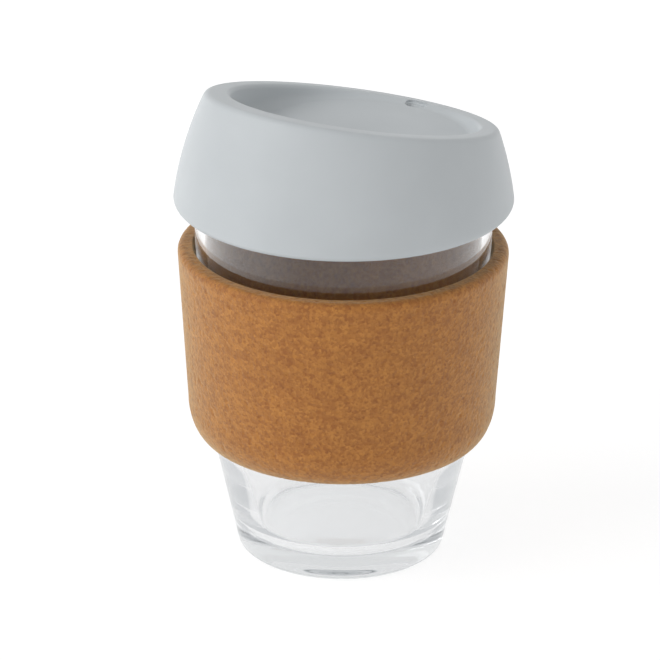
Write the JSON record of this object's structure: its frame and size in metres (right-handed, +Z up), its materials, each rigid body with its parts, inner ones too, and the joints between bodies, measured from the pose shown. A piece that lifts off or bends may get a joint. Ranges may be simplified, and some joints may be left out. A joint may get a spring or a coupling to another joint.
{
  "type": "travel cup",
  "caption": "Tapered glass travel cup with a cork grip sleeve and a sloping push-on silicone lid that has a drinking slot on its low side.",
  "frame": {"origin": "centre of the glass foot, on the surface that the cup stands on", "axes": "+Z up along the cup's axis; +Y towards the low side of the lid, which has the drinking slot; +X completes the right-handed frame"},
  "size_m": [0.0898, 0.0898, 0.1315],
  "materials": {
    "glass": "clear polished soda-lime glass",
    "cork": "ground and moulded cork, matt, fine speckle",
    "silicone": "matt pale blue-grey silicone"
  },
  "bodies": {
    "sleeve": {"cork_sleeve": "cork"},
    "tumbler": {"glass_tumbler": "glass"},
    "lid": {"silicone_lid": "silicone"}
  },
  "joints": [
    {"name": "tumbler_draw", "type": "slide", "parent": "sleeve", "child": "tumbler", "axis": [0, 0, 1], "range_m": [0, 0.09]},
    {"name": "lid_lift", "type": "slide", "parent": "tumbler", "child": "lid", "axis": [0, 0, 1], "range_m": [0, 0.04]}
  ]
}
